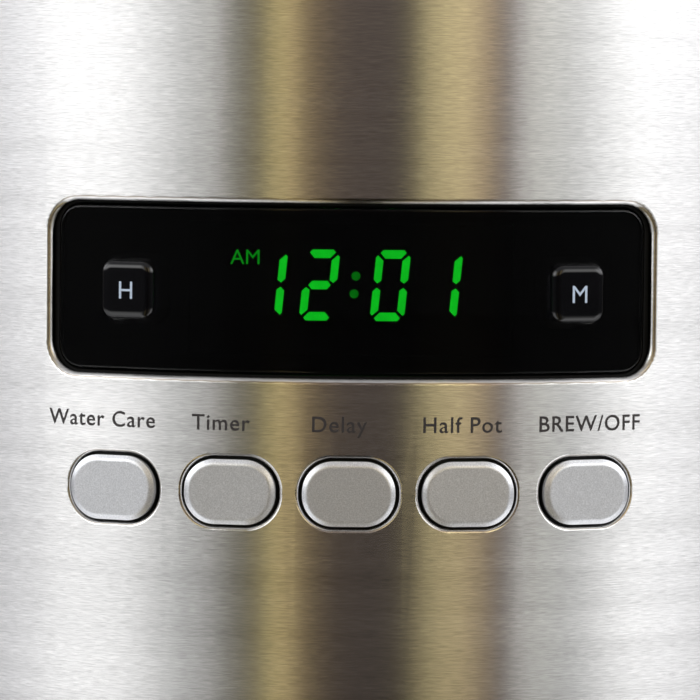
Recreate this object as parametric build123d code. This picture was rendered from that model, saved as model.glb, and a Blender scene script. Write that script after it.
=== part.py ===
from build123d import *
import os
from math import asin, atan, cos, degrees, hypot, radians, sin

# Drip coffee maker with a curved brushed-steel control head, a swing-out filter basket,
# a glass carafe on a warming plate and a water tank in the rear column.
# Millimetres. +Z is up, the control panel faces -Y, and the origin is the middle of the footprint.

# ---------------------------------------------------------------- body
FRONT_R = 100.0          # radius of the rounded front, half of the machine's width
BACK_Y = 135.0
REAR_CORNER = 25.0
WALL = 2.5               # plastic wall
BODY_INSET = 0.8         # base, column and cover sit back from the head by this much
GAP = 0.1                # assembly clearance between fixed pieces
FAR = 200.0              # longer than any part, for cutting
BASE_TOP = 44.0
HEAD_Z0 = 254.0
HEAD_Z1 = 374.0
TOP_Z = 384.0
COLUMN_Y = 60.0          # front face of the rear column
COLUMN_CORNER = 9.0
COVER_Y = 108.0          # where the rear cover meets the column and the head
LID_Y = 66.6             # front edge of the tank lid
BREW_Y = -15.0           # axis of plate, carafe, basket and shower head
BREW = (0, BREW_Y)

# ---------------------------------------------------------------- base
FEET_H = 5.0
FOOT_R = 9.0
FOOT_SPOTS = [(-68, 98), (68, 98), (-58, -44), (58, -44)]
PAN_TOP = 7.5
PAN_SCREW_SPOTS = [(-83, 52), (83, 52), (-55, -70), (55, -70)]
BOARD_POSTS = [(-24, 66), (44, 66), (-24, 104), (44, 104)]
BOARD_Z = 14.0
BOARD_T = 1.6
BAND_LOW = 13.0          # brushed trim round the base
BAND_HIGH = 37.0
GLAND_X = -62.0
GLAND_Z = 24.0
GLAND_Y0 = 122.0
GLAND_BORE = 3.6
GLAND_NECK_R = 6.0
GLAND_FLANGE_R = 8.0

# ---------------------------------------------------------------- heater and pipes
PLATE_TOP = 46.0
PLATE_R = 63.4
STRAP_SEAT = 41.2        # underside of the plate ring
STRAP_T = 1.6
STRAP_HALF_X = 65.5
STRAP_HALF_Y = 8.0
CASTING_Z0 = 30.5
CASTING_TOP = 44.8
CASTING_END = 10.0
PIPE_X = 42.5
PIPE_Z = 35.5
PIPE_BORE = 3.0
NIPPLE_R = 4.2
NIPPLE_END = 24.0
HOSE_START = 13.0
HOSE_R = 5.3
HOSE_IN_R = 4.25
CLIP_R = 6.4
CLIP_W = 5.0
ELEMENT_BEND = 33.0
ELEMENT_R = 3.2
ELEMENT_SEAT_R = 3.3
OUTLET_Y = 96.0
RISER_Y = 72.5
RISER_TOP = 300.0

# ---------------------------------------------------------------- tank
TANK_Z0 = 100.0
TANK_Z1 = 366.0
TANK_Y = 78.5
TANK_INSET = 6.0
TANK_WALL = 2.0
TANK_FLOOR = TANK_Z0 + TANK_WALL
TANK_CORNER = 8.0
TANK_REAR_CORNER = 13.5
CHARCOAL_X = -62.0
CHARCOAL_Y = 103.0
CAGE = 20.0
CAGE_H = 24.0
POD = 14.0
POD_H = 16.0
SIGHT_Y = 90.0           # water level window
SIGHT_Z0 = 104.0
SIGHT_Z1 = 246.0
COVER_BOSS_X = 66.0
COVER_BOSS_Z = 62.0

# ---------------------------------------------------------------- tank lid hinge
LID_AXIS_Y = 121.0
LID_AXIS_Z = 380.0
LID_PIN_R = 1.5
LID_KNUCKLE_R = 4.0
LUG_R = 3.9
LUG_X = 60.0
LUG_HALF = 4.0
LUG_GAP = 0.4
RAIL_Y = LID_AXIS_Y + 4.6
RUNNING = 0.06           # radial clearance of pins that turn

# ---------------------------------------------------------------- control panel
STEEL = 1.2              # sheet thickness
STEEL_HALF_DEG = 80.0
STEEL_Z0 = 255.0
WINDOW_Z = 324.7         # centre of the clock window
WINDOW_W = 102.6         # along the curve
WINDOW_H = 28.0
WINDOW_CORNER = 5.0
WINDOW_LIP = 1.0
LENS_GAP_SIDE = 1.15
LENS_GAP_TOP = 0.7
LENS_OUT = 99.2          # radius of the lens's outer face
LENS_T = 1.5
SEAL_IN = 96.7
SEAL_OUT = 98.6
SEAL_GAP = 0.35
LENS_EDGE = 0.45
BUTTON_Z = 292.2
BUTTON_PITCH = 19.17     # measured straight across the front
BUTTON_W = 15.0
BUTTON_H = 10.5
BUTTON_CORNER = 5.0
BUTTON_GAP = 0.45
BUTTON_LIP = 0.6
BUTTON_BEVEL = 0.75
BUTTON_SLOPE = 0.55      # depth of the bevel as a share of its width
BUTTON_EDGE = 1.1        # rounding between bevel and face
BUTTON_PROUD = 0.7
BUTTON_DEPTH = 1.9
BUTTON_FLANGE = 1.2      # how far the flange reaches past the cap
BUTTON_FLANGE_T = 1.3
BUTTON_NAMES = ["button_filter_reset", "button_prog", "button_auto_on", "button_cups", "button_start_stop"]
BUTTON_ANGLES = [degrees(asin(BUTTON_PITCH * place / FRONT_R)) for place in range(-2, 3)]
KEY_W = 9.2
KEY_H = 9.5
KEY_CORNER = 2.0
KEY_EDGE = 1.3
KEY_PROUD = 2.2
KEY_GAP = 0.3
KEY_FLANGE = 1.1
KEY_FLANGE_T = 1.2
KEY_Z = 324.45
KEYS = {"hour_key": -21.0, "minute_key": 21.35}
STEM_W = 4.4
STEM_HOLE = 5.6
STEM_END_Y = -80.4       # rear end of every stem
MODULE_FACE_Y = -92.2
MODULE_X = 26.0
MODULE_HALF_H = 10.5
BOARD_Y = -74.0          # front face of the control board
BOARD_HALF_X = 46.0
BOARD_CORNERS = [(-40, 283), (40, 283), (-40, 345), (40, 345)]
SWITCH_HALF = 3.0
SWITCH_BODY = 3.4
SWITCH_TIP = 4.9
CARRIER_IN = 90.0
CARRIER_OUT = 92.5
CARRIER_Z0 = 277.0
CARRIER_Z1 = 351.0
CARRIER_HALF_DEG = 33.0

# ---------------------------------------------------------------- basket
HINGE_X = -82.0
HINGE_Y = -33.0
HINGE_R = 3.0
BARREL_R = 7.0
BASKET_Z0 = 189.0
BASKET_Z1 = 251.0
BASKET_IN = 94.8
BASKET_OUT = 97.4
BASKET_HALF_DEG = 84.0
BASKET_CORNER = 14.0
BASKET_EDGE = 0.8
RING_Z = 247.0
RING_R = 60.5
CUP_TOP_R = 56.0
CUP_LOW_R = 40.0
CUP_RIM_R = 63.5
CUP_FLOOR = 199.0
CUP_WALL = 1.8
CUP_RIBS = 16
VALVE_HOLE = 5.0
VALVE_FOOT_Z = 186.4
VALVE_STEM_R = 4.0
SPRING_R = 5.8
MESH_TOP_R = 50.0
MESH_LOW_R = 33.0
MESH_Z0 = 205.0
MESH_Z1 = 245.0
MESH_RIBS = 6
SCREEN_T = 0.4

# ---------------------------------------------------------------- carafe
GLASS_PROFILE = [(52, 46.0), (63, 52), (70, 82), (64, 118), (50, 146), (46, 156), (47.5, 166)]
GLASS_WALL = 2.4
NECK_BAND_R = 50.2
NECK_BAND_Z0 = 150.5
NECK_BAND_Z1 = 160.5
LID_TOP = 185.6
LID_NOTCHES = 24
HANDLE_FRONT = -135.0
HANDLE_T = 17.0
HANDLE_HALF_W = 10.0
HANDLE_LOW = 74.0
HANDLE_HIGH = 163.0
HANDLE_SCREW_Y = -69.7
HANDLE_SCREW_Z = 155.5


# ---------------------------------------------------------------- helpers
def body_plan(inset, y_from=-FAR, y_to=FAR):
    """The machine's D-shaped outline, drawn inwards by inset, between two depths."""
    radius = FRONT_R - inset
    back = BACK_Y - inset
    rear = Pos(0, back / 2) * Rectangle(2 * radius, back)
    rear = fillet(rear.vertices().group_by(Axis.Y)[-1], max(REAR_CORNER - inset, 1.0))
    middle = (y_from + y_to) / 2
    return (Circle(radius) + rear) & (Pos(0, middle) * Rectangle(2 * FAR, y_to - y_from))


def prism(sketch, z0, z1):
    """A flat outline raised from z0 to z1."""
    return Pos(0, 0, z0) * extrude(sketch, z1 - z0)


def disc(radius, z0, z1, x=0.0, y=0.0):
    return Pos(x, y, (z0 + z1) / 2) * Cylinder(radius, z1 - z0)


def tube(outer, inner, z0, z1, x=0.0, y=0.0):
    return disc(outer, z0, z1, x, y) - disc(inner, z0 - 1, z1 + 1, x, y)


def rod_y(radius, y0, y1, x, z):
    """A cylinder lying front to back."""
    return Pos(x, (y0 + y1) / 2, z) * Rot(90, 0, 0) * Cylinder(radius, y1 - y0)


def rod_x(radius, x0, x1, y, z):
    """A cylinder lying from left to right."""
    return Pos((x0 + x1) / 2, y, z) * Rot(0, 90, 0) * Cylinder(radius, x1 - x0)


def block(x0, x1, y0, y1, z0, z1):
    return Pos((x0 + x1) / 2, (y0 + y1) / 2, (z0 + z1) / 2) * Box(x1 - x0, y1 - y0, z1 - z0)


def turned(points, y=BREW_Y):
    """A profile of (radius, height) points turned about an upright axis."""
    face = Plane.XZ * make_face(Polyline(*points, close=True))
    return Pos(0, y) * revolve(face, Axis.Z, 360)


def spaced(count, piece):
    """Copies of a piece evenly round the brewing axis; the piece is drawn about the origin."""
    copies = [Pos(0, BREW_Y) * Rot(0, 0, place * 360 / count) * piece for place in range(count)]
    return copies[0].fuse(*copies[1:])


def sector(r_in, r_out, half_deg, z0, z1, middle_deg=0.0):
    """A curved plate about the machine's axis: half_deg each side of middle_deg, 0 facing -Y."""
    reach = 10 * FAR
    left = radians(middle_deg - half_deg)
    right = radians(middle_deg + half_deg)
    wedge = make_face(Polyline(
        (0, 0),
        (reach * sin(left), -reach * cos(left)),
        (reach * sin(right), -reach * cos(right)),
        close=True,
    ))
    return prism((Circle(r_out) - Circle(r_in)) & wedge, z0, z1)


def from_axis(point):
    """A point's distance from the machine's upright axis."""
    return hypot(point.X, point.Y)


def curved_plate(r_in, r_out, width, height, corner, middle_z):
    """A rounded rectangle wrapped on the front, with its width measured along radius FRONT_R."""
    half_deg = degrees(width / 2 / FRONT_R)
    plate = sector(r_in, r_out, half_deg, middle_z - height / 2, middle_z + height / 2)
    return fillet(radial_edges(plate, r_out - r_in), corner)


def radial_edges(plate, thickness):
    """The short straight edges that run through a curved plate."""
    return [e for e in plate.edges() if e.geom_type == GeomType.LINE and abs(e.length - thickness) < 1e-3]


def on_panel(angle_deg, z):
    """A place on the panel's outer face: local z points out of the panel and local y up."""
    a = radians(angle_deg)
    outward = (sin(a), -cos(a), 0)
    sideways = (cos(a), sin(a), 0)
    return Plane(origin=(FRONT_R * sin(a), -FRONT_R * cos(a), z), x_dir=sideways, z_dir=outward).location


def hose(points, bend):
    """A soft hose along straight runs joined by arcs."""
    path = FilletPolyline(*points, radius=bend)
    start = Plane(origin=path @ 0, z_dir=path % 0)
    return sweep(start * Circle(HOSE_R), path=path) - sweep(start * Circle(HOSE_IN_R), path=path)


def screw(head_r, head_h, shank_r, shank_l):
    """A pan-head screw with a cross recess, head at z 0 to head_h and shank below."""
    head = Pos(0, 0, head_h / 2) * Cylinder(head_r, head_h)
    head = chamfer(head.edges().sort_by(Axis.Z)[-1], head_h * 0.3)
    slot = head_r * 1.1
    recess = Box(slot, slot * 0.23, head_h) + Box(slot * 0.23, slot, head_h)
    return head + Pos(0, 0, -shank_l / 2) * Cylinder(shank_r, shank_l) - Pos(0, 0, head_h) * recess


# ---------------------------------------------------------------- feet and base
def rubber_feet():
    """Four pads, each with a plug that snaps through the pan."""
    feet = []
    for x, y in FOOT_SPOTS:
        pad = disc(FOOT_R, 0, FEET_H, x, y)
        pad = chamfer(pad.edges().sort_by(Axis.Z)[0], 1.0)
        feet.append(pad + disc(3.9, FEET_H, PAN_TOP + 2, x, y))
    return Compound(children=feet)


def base_pan():
    """Floor of the base, with screw holes, board posts and air slots."""
    pan = prism(body_plan(4.0), FEET_H, PAN_TOP)
    for x, y in FOOT_SPOTS:
        pan -= disc(4.0, 0, 10, x, y)
    for x, y in PAN_SCREW_SPOTS:
        pan -= disc(1.8, 0, 10, x, y) + disc(4.0, 0, FEET_H + 1.5, x, y)
    for x, y in BOARD_POSTS:
        pan += disc(3.0, PAN_TOP, BOARD_Z, x, y)
    for row in range(7):
        pan -= Pos(0, -30 + 8 * row, 6) * Box(60, 3, 6)
    return pan


def base_housing():
    shell = prism(body_plan(BODY_INSET), FEET_H + 0.5, BASE_TOP)
    top_edge = [e for e in shell.edges() if abs(e.center().Z - BASE_TOP) < 0.01 and e.center().Y < COLUMN_Y - 5]
    shell = fillet(top_edge, 1.6)
    ceiling = BASE_TOP - WALL
    shell -= prism(body_plan(BODY_INSET + WALL), 0, ceiling)
    for x, y in PAN_SCREW_SPOTS:
        shell += disc(4.5, PAN_TOP + GAP, ceiling + 0.5, x, y)
        shell -= disc(1.6, PAN_TOP - 0.5, 24, x, y)
    shell -= disc(66, ceiling - 3, BASE_TOP + 6, *BREW)
    shell -= block(-60, 60, COLUMN_Y + 3, COVER_Y - 2, ceiling - 3, BASE_TOP + 6)
    return shell - rod_y(GLAND_NECK_R + GAP, 120, 140, GLAND_X, GLAND_Z)


def base_band():
    """Thin steel trim round the front of the base."""
    band = prism(body_plan(0.0) - body_plan(BODY_INSET - GAP), BAND_LOW, BAND_HIGH)
    return band & block(-FAR, FAR, -FAR, COLUMN_Y, 0, BASE_TOP)


def cord_gland():
    """Rubber bush in the back wall that the mains lead passes through."""
    outside = BACK_Y - BODY_INSET
    inside = outside - WALL - GAP
    bush = rod_y(GLAND_NECK_R, GLAND_Y0, outside + 0.6, GLAND_X, GLAND_Z)
    bush += rod_y(GLAND_FLANGE_R, outside, outside + 0.6, GLAND_X, GLAND_Z)
    bush += rod_y(GLAND_FLANGE_R, inside - 2.1, inside, GLAND_X, GLAND_Z)
    return bush - rod_y(GLAND_BORE, 100, 150, GLAND_X, GLAND_Z)


# ---------------------------------------------------------------- heater
def plate_ring():
    """Metal ring that holds the plate in the base."""
    low = STRAP_SEAT
    inner = PLATE_R + 0.2
    return turned([
        (inner, low), (65.8, low), (65.8, BASE_TOP), (71, BASE_TOP), (71, 44.7), (69.6, 45.6), (inner, 45.6),
    ])


def warming_plate():
    """Shallow inverted dish that the carafe stands on."""
    skirt = PLATE_R - 1.2
    low = STRAP_SEAT + 0.4
    return turned([
        (0, CASTING_TOP), (skirt, CASTING_TOP), (skirt, low), (PLATE_R, low), (PLATE_R, PLATE_TOP - 0.6),
        (PLATE_R - 0.6, PLATE_TOP), (0, PLATE_TOP),
    ])


def horseshoe(r_in, r_out, z0, z1, leg_end):
    """A flat U open to the rear: half a ring with two straight legs."""
    half_ring = (Circle(r_out) - Circle(r_in)) & (Pos(0, -r_out) * Rectangle(2 * r_out, 2 * r_out))
    leg = leg_end - BREW_Y
    middle = (r_in + r_out) / 2
    legs = Rectangle(r_out - r_in, leg)
    outline = half_ring + Pos(middle, leg / 2) * legs + Pos(-middle, leg / 2) * legs
    return Pos(0, BREW_Y, z0) * extrude(outline, z1 - z0)


def bent_rod(bend_r, rod_r, leg_end):
    """A round rod bent to the same U."""
    circle = Plane.XZ * Pos(-bend_r, PIPE_Z) * Circle(rod_r)
    bend = Pos(0, BREW_Y) * revolve(circle, Axis.Z, 180)
    return bend + rod_y(rod_r, BREW_Y, leg_end, bend_r, PIPE_Z) + rod_y(rod_r, BREW_Y, leg_end, -bend_r, PIPE_Z)


def heater_casting():
    """Aluminium casting with the element's seat, the water bore and two nipples."""
    casting = horseshoe(27, 49, CASTING_Z0, CASTING_TOP, CASTING_END)
    casting -= bent_rod(ELEMENT_BEND, ELEMENT_SEAT_R, CASTING_END + 2)
    for side in (-1, 1):
        casting += rod_y(NIPPLE_R, CASTING_END, NIPPLE_END, side * PIPE_X, PIPE_Z)
    return casting - bent_rod(PIPE_X, PIPE_BORE, NIPPLE_END + 2)


def heating_element():
    """Sheathed rod with a flat terminal at each end."""
    rod_end = CASTING_END + 4
    element = bent_rod(ELEMENT_BEND, ELEMENT_R, rod_end)
    for side in (-1, 1):
        x = side * ELEMENT_BEND
        element += block(x - 2.4, x + 2.4, rod_end - 1, rod_end + 13, PIPE_Z - 0.4, PIPE_Z + 0.4)
    return element


def heater_strap():
    """Steel strap that pulls the casting up against the plate."""
    low = CASTING_Z0 - STRAP_T
    front = BREW_Y - STRAP_HALF_Y
    back = BREW_Y + STRAP_HALF_Y
    strap = block(-STRAP_HALF_X, STRAP_HALF_X, front, back, low, CASTING_Z0)
    for side in (-1, 1):
        ear = side * (STRAP_HALF_X - 0.75)
        strap += block(ear - 0.75, ear + 0.75, front, back, low, STRAP_SEAT)
    return strap


def thermostats():
    """Two disc thermostats under the strap, each with two tabs."""
    top = CASTING_Z0 - STRAP_T
    can_low = top - 6.4
    switches = []
    for side in (-1, 1):
        can = disc(7.5, can_low, top, side * 20, BREW_Y)
        for tab in (-4, 4):
            x = side * 20 + tab
            can += block(x - 0.4, x + 0.4, BREW_Y - 3, BREW_Y + 3, can_low - 7.6, can_low)
        switches.append(can)
    return Compound(children=switches)


def thermal_fuse():
    """One-shot fuse with a lead at each end, between the thermostats."""
    middle = CASTING_Z0 - STRAP_T - 2.0
    return rod_x(2.0, -11, 11, BREW_Y, middle) + rod_x(0.5, -12.4, 12.4, BREW_Y, middle)


def power_board():
    board = block(-29, 49, 62, 108, BOARD_Z, BOARD_Z + BOARD_T)
    for x, y in BOARD_POSTS:
        board -= disc(1.5, 10, 20, x, y)
    return board


def relay():
    return block(13, 32, 80, 95, BOARD_Z + BOARD_T, 29)


def transformer():
    """Laminated core with the winding standing out front and back."""
    core = block(-20, 10, 70, 98, BOARD_Z + BOARD_T, 32)
    return core + block(-14, 4, 66, 102, 18, 29)


# ---------------------------------------------------------------- water path
def cold_hose():
    """From the tank's outlet down to the heater."""
    return hose([
        (PIPE_X, OUTLET_Y, TANK_Z0 - 2),
        (PIPE_X, OUTLET_Y, PIPE_Z),
        (PIPE_X, HOSE_START, PIPE_Z),
    ], 22)


def riser_tube():
    """From the heater up the column and over to the shower head."""
    return hose([
        (-PIPE_X, HOSE_START, PIPE_Z),
        (-PIPE_X, RISER_Y, PIPE_Z),
        (-PIPE_X, RISER_Y, RISER_TOP),
        (0, BREW_Y, RISER_TOP),
        (0, BREW_Y, HEAD_Z0 + 11),
    ], 12)


def hose_clips():
    """A clip on each of the four hose ends."""
    inner = HOSE_R + 0.05
    clips = []
    for x in (-PIPE_X, PIPE_X):
        y0 = HOSE_START + 2
        clips.append(rod_y(CLIP_R, y0, y0 + CLIP_W, x, PIPE_Z) - rod_y(inner, y0 - 5, y0 + 10, x, PIPE_Z))
    for x, y, z0 in ((PIPE_X, OUTLET_Y, TANK_Z0 - 11), (0, BREW_Y, HEAD_Z0 + 13)):
        clips.append(tube(CLIP_R, inner, z0, z0 + CLIP_W, x, y))
    return Compound(children=clips)


def check_valve():
    """Duckbill that lets water into the heater but not back into the tank."""
    low = TANK_Z0 - 8
    bill = disc(6, TANK_FLOOR, TANK_FLOOR + 1.5, PIPE_X, OUTLET_Y)
    bill += disc(3.1, low, TANK_FLOOR + 1, PIPE_X, OUTLET_Y)
    bill -= disc(2.2, low + 2, TANK_Z0 + 10, PIPE_X, OUTLET_Y)
    return bill - block(PIPE_X - 2, PIPE_X + 2, OUTLET_Y - 0.2, OUTLET_Y + 0.2, low - 2, low + 3)


def tank_plan(inset):
    """The tank's outline, drawn inwards by inset."""
    back = BACK_Y - TANK_INSET
    middle = (TANK_Y + back) / 2
    outline = Pos(0, middle) * Rectangle(2 * (FRONT_R - TANK_INSET - inset), back - TANK_Y - 2 * inset)
    outline = fillet(outline.vertices().group_by(Axis.Y)[-1], TANK_REAR_CORNER - inset)
    return fillet(outline.vertices().group_by(Axis.Y)[0], TANK_CORNER - inset)


def water_tank():
    """Open-topped tank with an outlet spigot in its floor."""
    tank = prism(tank_plan(0), TANK_Z0, TANK_Z1) - prism(tank_plan(TANK_WALL), TANK_FLOOR, TANK_Z1 + 1)
    tank += disc(NIPPLE_R, TANK_Z0 - 14, TANK_Z0 + 1, PIPE_X, OUTLET_Y)
    return tank - disc(3.3, TANK_Z0 - 20, TANK_Z0 + 5, PIPE_X, OUTLET_Y)


def charcoal_holder():
    """Long-stemmed cage that stands on the tank's floor."""
    x = CHARCOAL_X
    y = CHARCOAL_Y
    cage = Pos(x, y, TANK_FLOOR + CAGE_H / 2) * Box(CAGE, CAGE, CAGE_H)
    cage = fillet(cage.edges().filter_by(Axis.Z), 3)
    cage -= Pos(x, y, TANK_FLOOR + 1.6 + CAGE_H / 2) * Box(CAGE - 4, CAGE - 4, CAGE_H)
    for level in range(3):
        slot_z = TANK_FLOOR + 6 * (level + 1)
        cage -= Pos(x, y, slot_z) * Box(CAGE / 2, CAGE * 1.5, 2)
        cage -= Pos(x, y, slot_z) * Box(CAGE * 1.5, CAGE / 2, 2)
    stem_bar = block(x - 4, x + 4, y + 8.2, y + 10, TANK_FLOOR + 20, TANK_Z1 - 12)
    grip = block(x - 9, x + 9, y + 7.5, y + 10.5, TANK_Z1 - 22, TANK_Z1 - 6)
    return cage + stem_bar + fillet(grip.edges().filter_by(Axis.Y), 4)


def charcoal_pod():
    pod = Pos(CHARCOAL_X, CHARCOAL_Y, TANK_FLOOR + 1.7 + POD_H / 2) * Box(POD, POD, POD_H)
    return fillet(pod.edges().filter_by(Axis.Z), 3)


def shower_head():
    """Hollow dish with spray holes, hung in the head's floor."""
    floor = HEAD_Z0
    dish = turned([
        (0, floor + 0.4), (29.6, floor + 0.4), (29.6, floor + 2.6), (35, floor + 2.6), (35, floor + 4.2),
        (28.5, floor + 4.2), (26, floor + 8), (NIPPLE_R, floor + 10), (NIPPLE_R, floor + 24),
        (PIPE_BORE, floor + 24), (PIPE_BORE, floor + 8.2), (25, floor + 6.4), (27.6, floor + 3),
        (27.6, floor + 2), (0, floor + 2),
    ])
    for ring_r, count in ((9, 6), (17, 10), (24, 14)):
        for spot in PolarLocations(ring_r, count):
            dish -= Pos(0, BREW_Y, floor + 1) * spot * Cylinder(1.2, 4)
    return dish


# ---------------------------------------------------------------- column and covers
def column_housing():
    """Front and sides of the rear column, with two bosses for the cover's screws."""
    half = FRONT_R - BODY_INSET
    depth = COVER_Y - COLUMN_Y
    outer = Pos(0, COLUMN_Y + depth / 2) * Rectangle(2 * half, depth)
    outer = fillet(outer.vertices().group_by(Axis.Y)[0], COLUMN_CORNER)
    inner = Pos(0, COLUMN_Y + WALL + depth / 2) * Rectangle(2 * (half - WALL), depth)
    inner = fillet(inner.vertices().group_by(Axis.Y)[0], COLUMN_CORNER - WALL)
    shell = prism(outer - inner, BASE_TOP, HEAD_Z0)
    for x in (-COVER_BOSS_X, COVER_BOSS_X):
        shell += rod_y(5.0, COLUMN_Y + 1, BACK_Y - BODY_INSET - WALL - GAP, x, COVER_BOSS_Z)
        shell -= rod_y(1.6, COLUMN_Y + 20, BACK_Y, x, COVER_BOSS_Z)
    return shell - block(half - 5, half + 2, SIGHT_Y - 5, SIGHT_Y + 5, SIGHT_Z0, SIGHT_Z1)


def level_window():
    """Clear strip in the right side of the column, in front of the tank's wall."""
    face = FRONT_R - BODY_INSET - 0.3
    seat = FRONT_R - BODY_INSET - WALL - GAP
    back = seat - 1.4
    strip = block(back, face, SIGHT_Y - 4.8, SIGHT_Y + 4.8, SIGHT_Z0 + 0.2, SIGHT_Z1 - 0.2)
    return strip + block(back, seat, SIGHT_Y - 8, SIGHT_Y + 8, SIGHT_Z0 - 3, SIGHT_Z1 + 3)


def rear_cover():
    """Back of the machine with the lid's hinge rail, two lugs, air slots and screw seats."""
    wall = prism(body_plan(BODY_INSET, COVER_Y + GAP) - body_plan(BODY_INSET + WALL), BASE_TOP, HEAD_Z1)
    rail = prism(body_plan(0.0, RAIL_Y), HEAD_Z1 - 2, TOP_Z)
    top = [e for e in rail.edges() if abs(e.center().Z - TOP_Z) < 0.01]
    rail = fillet([e for e in top if e.center().Y > RAIL_Y + 0.1], 2.0)
    front = [e for e in rail.edges() if abs(e.center().Z - TOP_Z) < 0.01 and abs(e.center().Y - RAIL_Y) < 0.1]
    cover = wall + chamfer(front, 1.5)
    for side in (-1, 1):
        x0 = side * LUG_X - LUG_HALF
        x1 = side * LUG_X + LUG_HALF
        cover += rod_x(LUG_R, x0, x1, LID_AXIS_Y, LID_AXIS_Z)
        cover += block(x0, x1, LID_AXIS_Y, LID_AXIS_Y + 6, LID_AXIS_Z - LUG_R, LID_AXIS_Z + 1.5)
        cover -= rod_x(LID_PIN_R, x0 - 1, x1 + 1, LID_AXIS_Y, LID_AXIS_Z)
        cover -= rod_y(1.8, BACK_Y - 7, BACK_Y + 5, side * COVER_BOSS_X, COVER_BOSS_Z)
        cover -= rod_y(4.2, BACK_Y - 2, BACK_Y + 2, side * COVER_BOSS_X, COVER_BOSS_Z)
    for row in range(6):
        cover -= Pos(0, BACK_Y, 74 + 7 * row) * Box(56, 12, 2.6)
    return cover


def lid_hinge_pins():
    return Compound(children=[rod_x(LID_PIN_R, x - 9, x + 9, LID_AXIS_Y, LID_AXIS_Z) for x in (-LUG_X, LUG_X)])


def housing_screws():
    """Four screws from below and two from behind."""
    screws = []
    for x, y in PAN_SCREW_SPOTS:
        screws.append(Pos(x, y, FEET_H + 1.5) * Rot(180, 0, 0) * screw(3.4, 1.4, 1.5, 14))
    for x in (-COVER_BOSS_X, COVER_BOSS_X):
        screws.append(Pos(x, BACK_Y - 2.0, COVER_BOSS_Z) * Rot(-90, 0, 0) * screw(3.6, 1.7, 1.5, 14))
    return Compound(children=screws)


# ---------------------------------------------------------------- head
def on_hinge(radius, z0, z1):
    """A cylinder about the basket's hinge."""
    return disc(radius, z0, z1, HINGE_X, HINGE_Y)


def head_chassis():
    """Floor of the head, which carries the shower head and the basket's hinge pin."""
    floor = prism(body_plan(3.9, -FAR, TANK_Y - 1), HEAD_Z0, HEAD_Z0 + WALL)
    floor -= disc(30, HEAD_Z0 - 1, HEAD_Z0 + 4, *BREW)
    floor -= disc(7, HEAD_Z0 - 1, HEAD_Z0 + 4, -PIPE_X, RISER_Y)
    floor += on_hinge(BARREL_R, HEAD_Z0, HEAD_Z0 + 14)
    floor -= on_hinge(HINGE_R, HEAD_Z0 - 1, HEAD_Z0 + 12)
    for x in (-55, 55):
        floor += block(x - 1, x + 1, -55, 60, HEAD_Z0 + WALL - 0.1, HEAD_Z0 + 10)
    return floor


def head_housing():
    """Plastic shell of the head; its front is set back for the steel sheet."""
    shell = prism(body_plan(0.0, -FAR, COVER_Y) - body_plan(STEEL + WALL), HEAD_Z0, HEAD_Z1)
    shell -= sector(FRONT_R - STEEL - GAP, FRONT_R + 2, STEEL_HALF_DEG + 0.2, STEEL_Z0 - GAP, HEAD_Z1 + 1)
    opening_half_deg = degrees(asin(56.0 / FRONT_R))
    return shell - sector(FRONT_R - 10, FRONT_R + 10, opening_half_deg, CARRIER_Z0 - 1, CARRIER_Z1 + 1)


def hole_rim(sheet, x, z, half_w, half_h):
    """The edges of one hole that lie on the sheet's outer face."""
    rim = []
    for edge in sheet.edges():
        middle = edge.position_at(0.5)
        on_face = abs(from_axis(middle) - FRONT_R) < 0.05
        if on_face and abs(middle.X - x) < half_w and abs(middle.Z - z) < half_h:
            rim.append(edge)
    return rim


def control_panel():
    """Brushed steel sheet with a lip rolled inwards round the window and each button."""
    sheet = sector(FRONT_R - STEEL, FRONT_R, STEEL_HALF_DEG, STEEL_Z0, HEAD_Z1)
    sheet -= curved_plate(FRONT_R - 6, FRONT_R + 6, WINDOW_W, WINDOW_H, WINDOW_CORNER, WINDOW_Z)
    sheet = fillet(hole_rim(sheet, 0.0, WINDOW_Z, WINDOW_W / 2 + 1, WINDOW_H / 2 + 1), WINDOW_LIP)
    width = BUTTON_W + 2 * BUTTON_GAP
    height = BUTTON_H + 2 * BUTTON_GAP
    for angle in BUTTON_ANGLES:
        outline = RectangleRounded(width, height, BUTTON_CORNER + BUTTON_GAP)
        sheet -= on_panel(angle, BUTTON_Z) * Pos(0, 0, -5) * extrude(outline, 10)
        rim = hole_rim(sheet, FRONT_R * sin(radians(angle)), BUTTON_Z, width / 2 + 1, height / 2 + 1)
        sheet = fillet(rim, BUTTON_LIP)
    return sheet


def lens_size():
    return WINDOW_W - 2 * LENS_GAP_SIDE, WINDOW_H - 2 * LENS_GAP_TOP


def display_lens():
    """Curved smoked window with a rounded rim and a hole for each clock key."""
    width, height = lens_size()
    lens = curved_plate(LENS_OUT - LENS_T, LENS_OUT, width, height, WINDOW_CORNER - LENS_GAP_SIDE, WINDOW_Z)
    lens = fillet([e for e in lens.edges() if abs(from_axis(e.position_at(0.5)) - LENS_OUT) < 0.05], LENS_EDGE)
    for angle in KEYS.values():
        outline = RectangleRounded(KEY_W + 2 * KEY_GAP, KEY_H + 2 * KEY_GAP, KEY_CORNER + KEY_GAP)
        lens -= on_panel(angle, KEY_Z) * Pos(0, 0, -6) * extrude(outline, 12)
    return lens


def lens_gasket():
    """Rubber frame round the lens's rim, behind the steel."""
    width, height = lens_size()
    outer = curved_plate(SEAL_IN, SEAL_OUT, WINDOW_W + 3, WINDOW_H + 3, WINDOW_CORNER + 1, WINDOW_Z)
    inside = (width + 2 * SEAL_GAP, height + 2 * SEAL_GAP, WINDOW_CORNER - LENS_GAP_SIDE + SEAL_GAP)
    return outer - curved_plate(90, 110, *inside, WINDOW_Z)


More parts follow.
